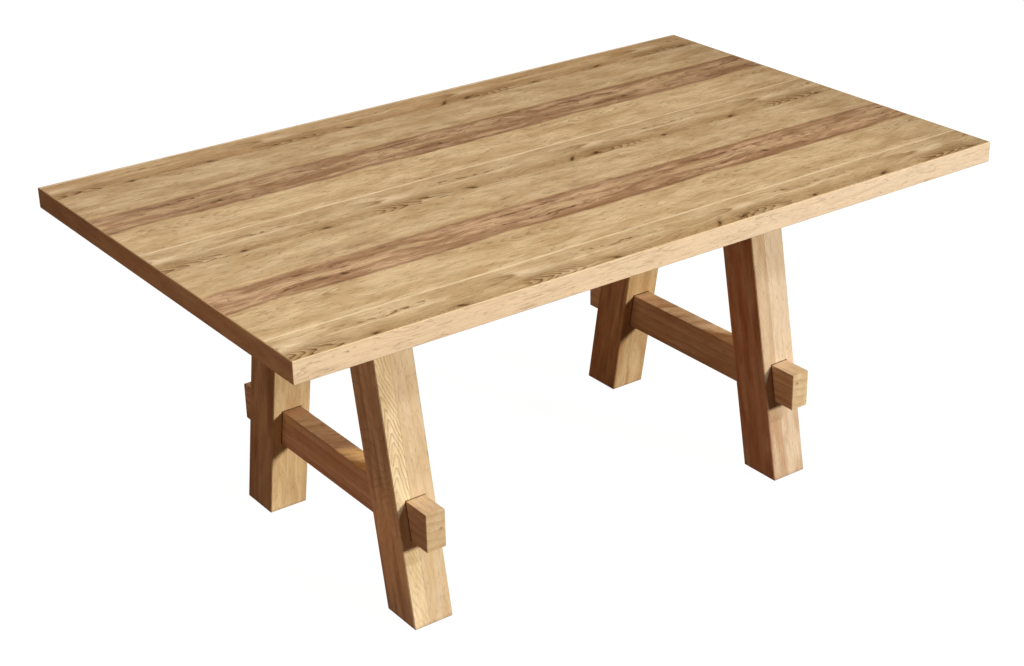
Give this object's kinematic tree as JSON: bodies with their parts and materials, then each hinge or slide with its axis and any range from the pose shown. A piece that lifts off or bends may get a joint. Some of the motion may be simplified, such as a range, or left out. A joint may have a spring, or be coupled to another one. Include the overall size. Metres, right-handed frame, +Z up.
{
  "type": "trestle dining table",
  "caption": "Rectangular wooden dining table with a thick planked top on splayed trestle legs, joined low by rails that pass through them.",
  "frame": {"origin": "on the floor under the centre of the tabletop", "axes": "+X along the table, +Y from the front long side to the back one, +Z up"},
  "size_m": [1.7, 1.03, 0.762],
  "materials": {
    "knotty_board": "clear satin oil on planed wood",
    "tan_board": "clear satin oil on planed wood",
    "dark_board": "clear satin oil on planed wood",
    "edge_band": "clear satin oil on planed wood",
    "narrow_stave": "clear satin oil on planed wood",
    "wide_stave": "clear satin oil on planed wood",
    "rail": "clear satin oil on planed wood",
    "bearer": "planed wood",
    "core": "sanded panel",
    "backing": "sanded veneer",
    "steel": "zinc plated",
    "brass": "plain",
    "felt": "pressed felt"
  },
  "bodies": {
    "root": {"backing_panel": "backing", "bearer_bolts": "steel", "bearer_left": "bearer", "bearer_right": "bearer", "core_panel": "core", "edge_band_back": "edge_band", "edge_band_front": "edge_band", "edge_band_left": "edge_band", "edge_band_right": "edge_band", "face_board_1": "knotty_board", "face_board_2": "tan_board", "face_board_3": "dark_board", "face_board_4": "tan_board", "face_board_5": "knotty_board", "face_board_6": "tan_board", "face_board_7": "dark_board", "face_board_8": "tan_board", "face_board_9": "knotty_board", "foot_pads": "felt", "leg_left_back_narrow_stave": "narrow_stave", "leg_left_back_wide_stave": "wide_stave", "leg_left_front_narrow_stave": "narrow_stave", "leg_left_front_wide_stave": "wide_stave", "leg_right_back_narrow_stave": "narrow_stave", "leg_right_back_wide_stave": "wide_stave", "leg_right_front_narrow_stave": "narrow_stave", "leg_right_front_wide_stave": "wide_stave", "rail_left": "rail", "rail_right": "rail", "threaded_inserts": "brass"}
  },
  "joints": []
}
